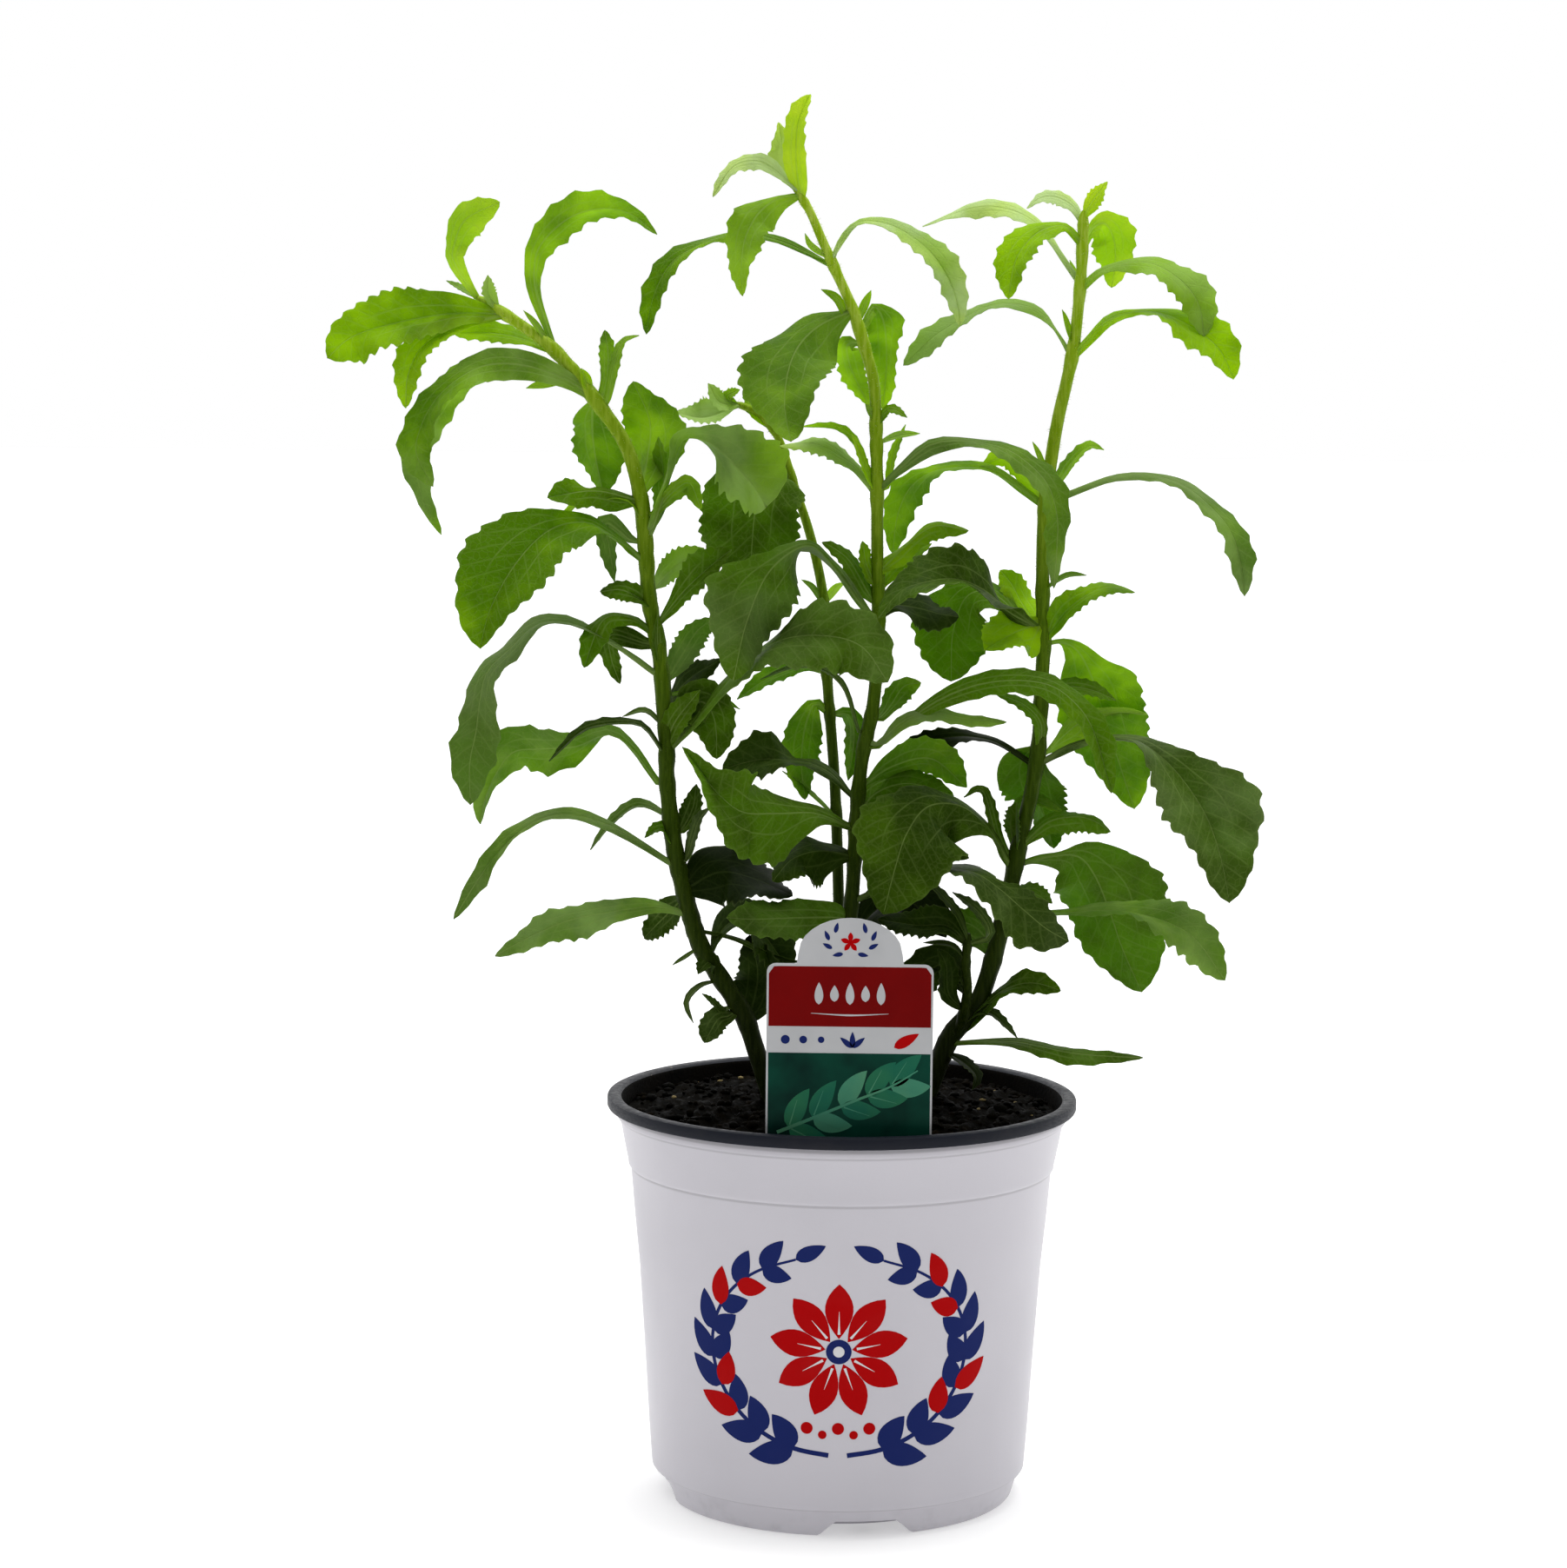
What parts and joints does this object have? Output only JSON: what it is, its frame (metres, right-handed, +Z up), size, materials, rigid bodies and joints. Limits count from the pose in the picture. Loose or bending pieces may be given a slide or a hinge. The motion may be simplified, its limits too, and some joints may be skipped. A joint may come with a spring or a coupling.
{
  "type": "potted stevia plant",
  "caption": "Young leafy herb plant with toothed leaves on upright stems, in a white nursery pot with a grey lip, soil and a plain plant label.",
  "frame": {"origin": "middle of the pot's floor, on the face that it stands on", "axes": "+Z up along the pot's axis, -Y towards the front, where the label faces, +X to the right seen from the front"},
  "size_m": [0.3187, 0.165, 0.4889],
  "materials": {
    "pot": "satin white plastic, with a dark grey lip and inside",
    "soil": "damp peat and bark mix",
    "tag": "thin printed plastic",
    "foliage": "softly hairy green leaf"
  },
  "bodies": {
    "root": {"pot": "pot", "soil": "soil", "tag": "tag", "stem_left": "foliage", "stem_centre": "foliage", "stem_right": "foliage", "stem_back": "foliage"}
  },
  "joints": []
}
